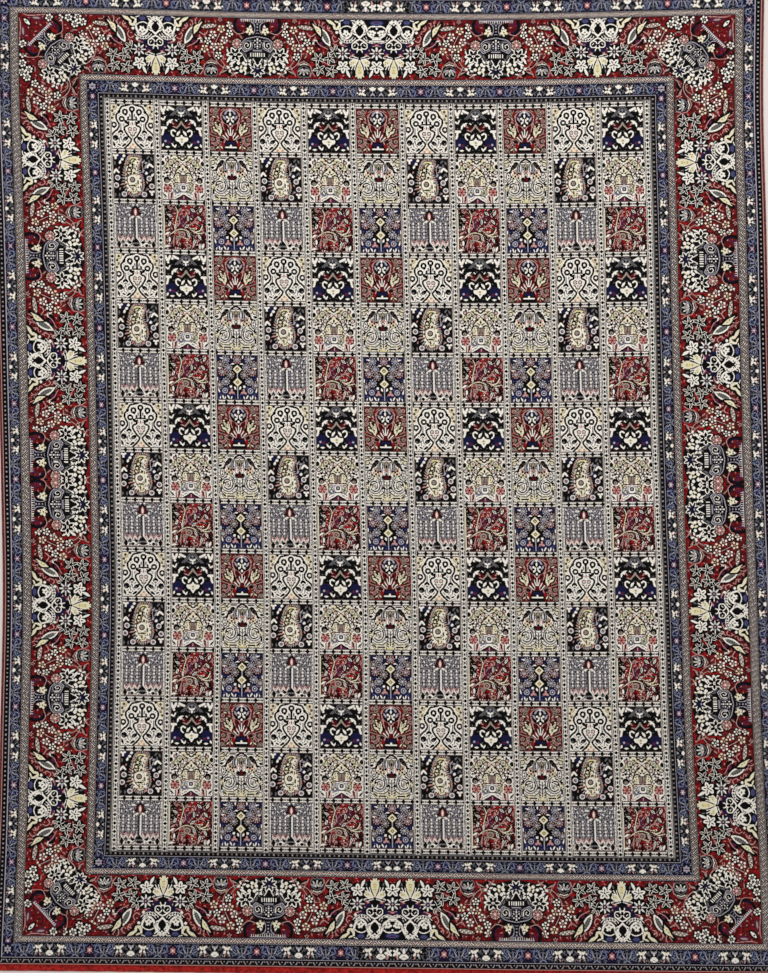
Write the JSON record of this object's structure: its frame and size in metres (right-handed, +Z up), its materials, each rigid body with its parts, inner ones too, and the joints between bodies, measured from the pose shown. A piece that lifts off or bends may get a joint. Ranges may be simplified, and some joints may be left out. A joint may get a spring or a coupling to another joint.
{
  "type": "persian rug",
  "caption": "Rectangular hand-knotted wool rug, garden-panel field inside a red flowered border and narrow blue guards, lying flat.",
  "frame": {"origin": "middle of the underside, on the surface that the rug lies on", "axes": "+Y along the rug's length towards its upper end, +X across it to the right, +Z up out of the pile"},
  "size_m": [2.0796, 2.5896, 0.012],
  "materials": {
    "knotted_pile": "clipped wool pile, matt",
    "red_wool": "wrapped and flat-woven wool, matt"
  },
  "bodies": {
    "root": {"rug_body": "knotted_pile", "selvedge_left": "red_wool", "selvedge_right": "red_wool"}
  },
  "joints": []
}
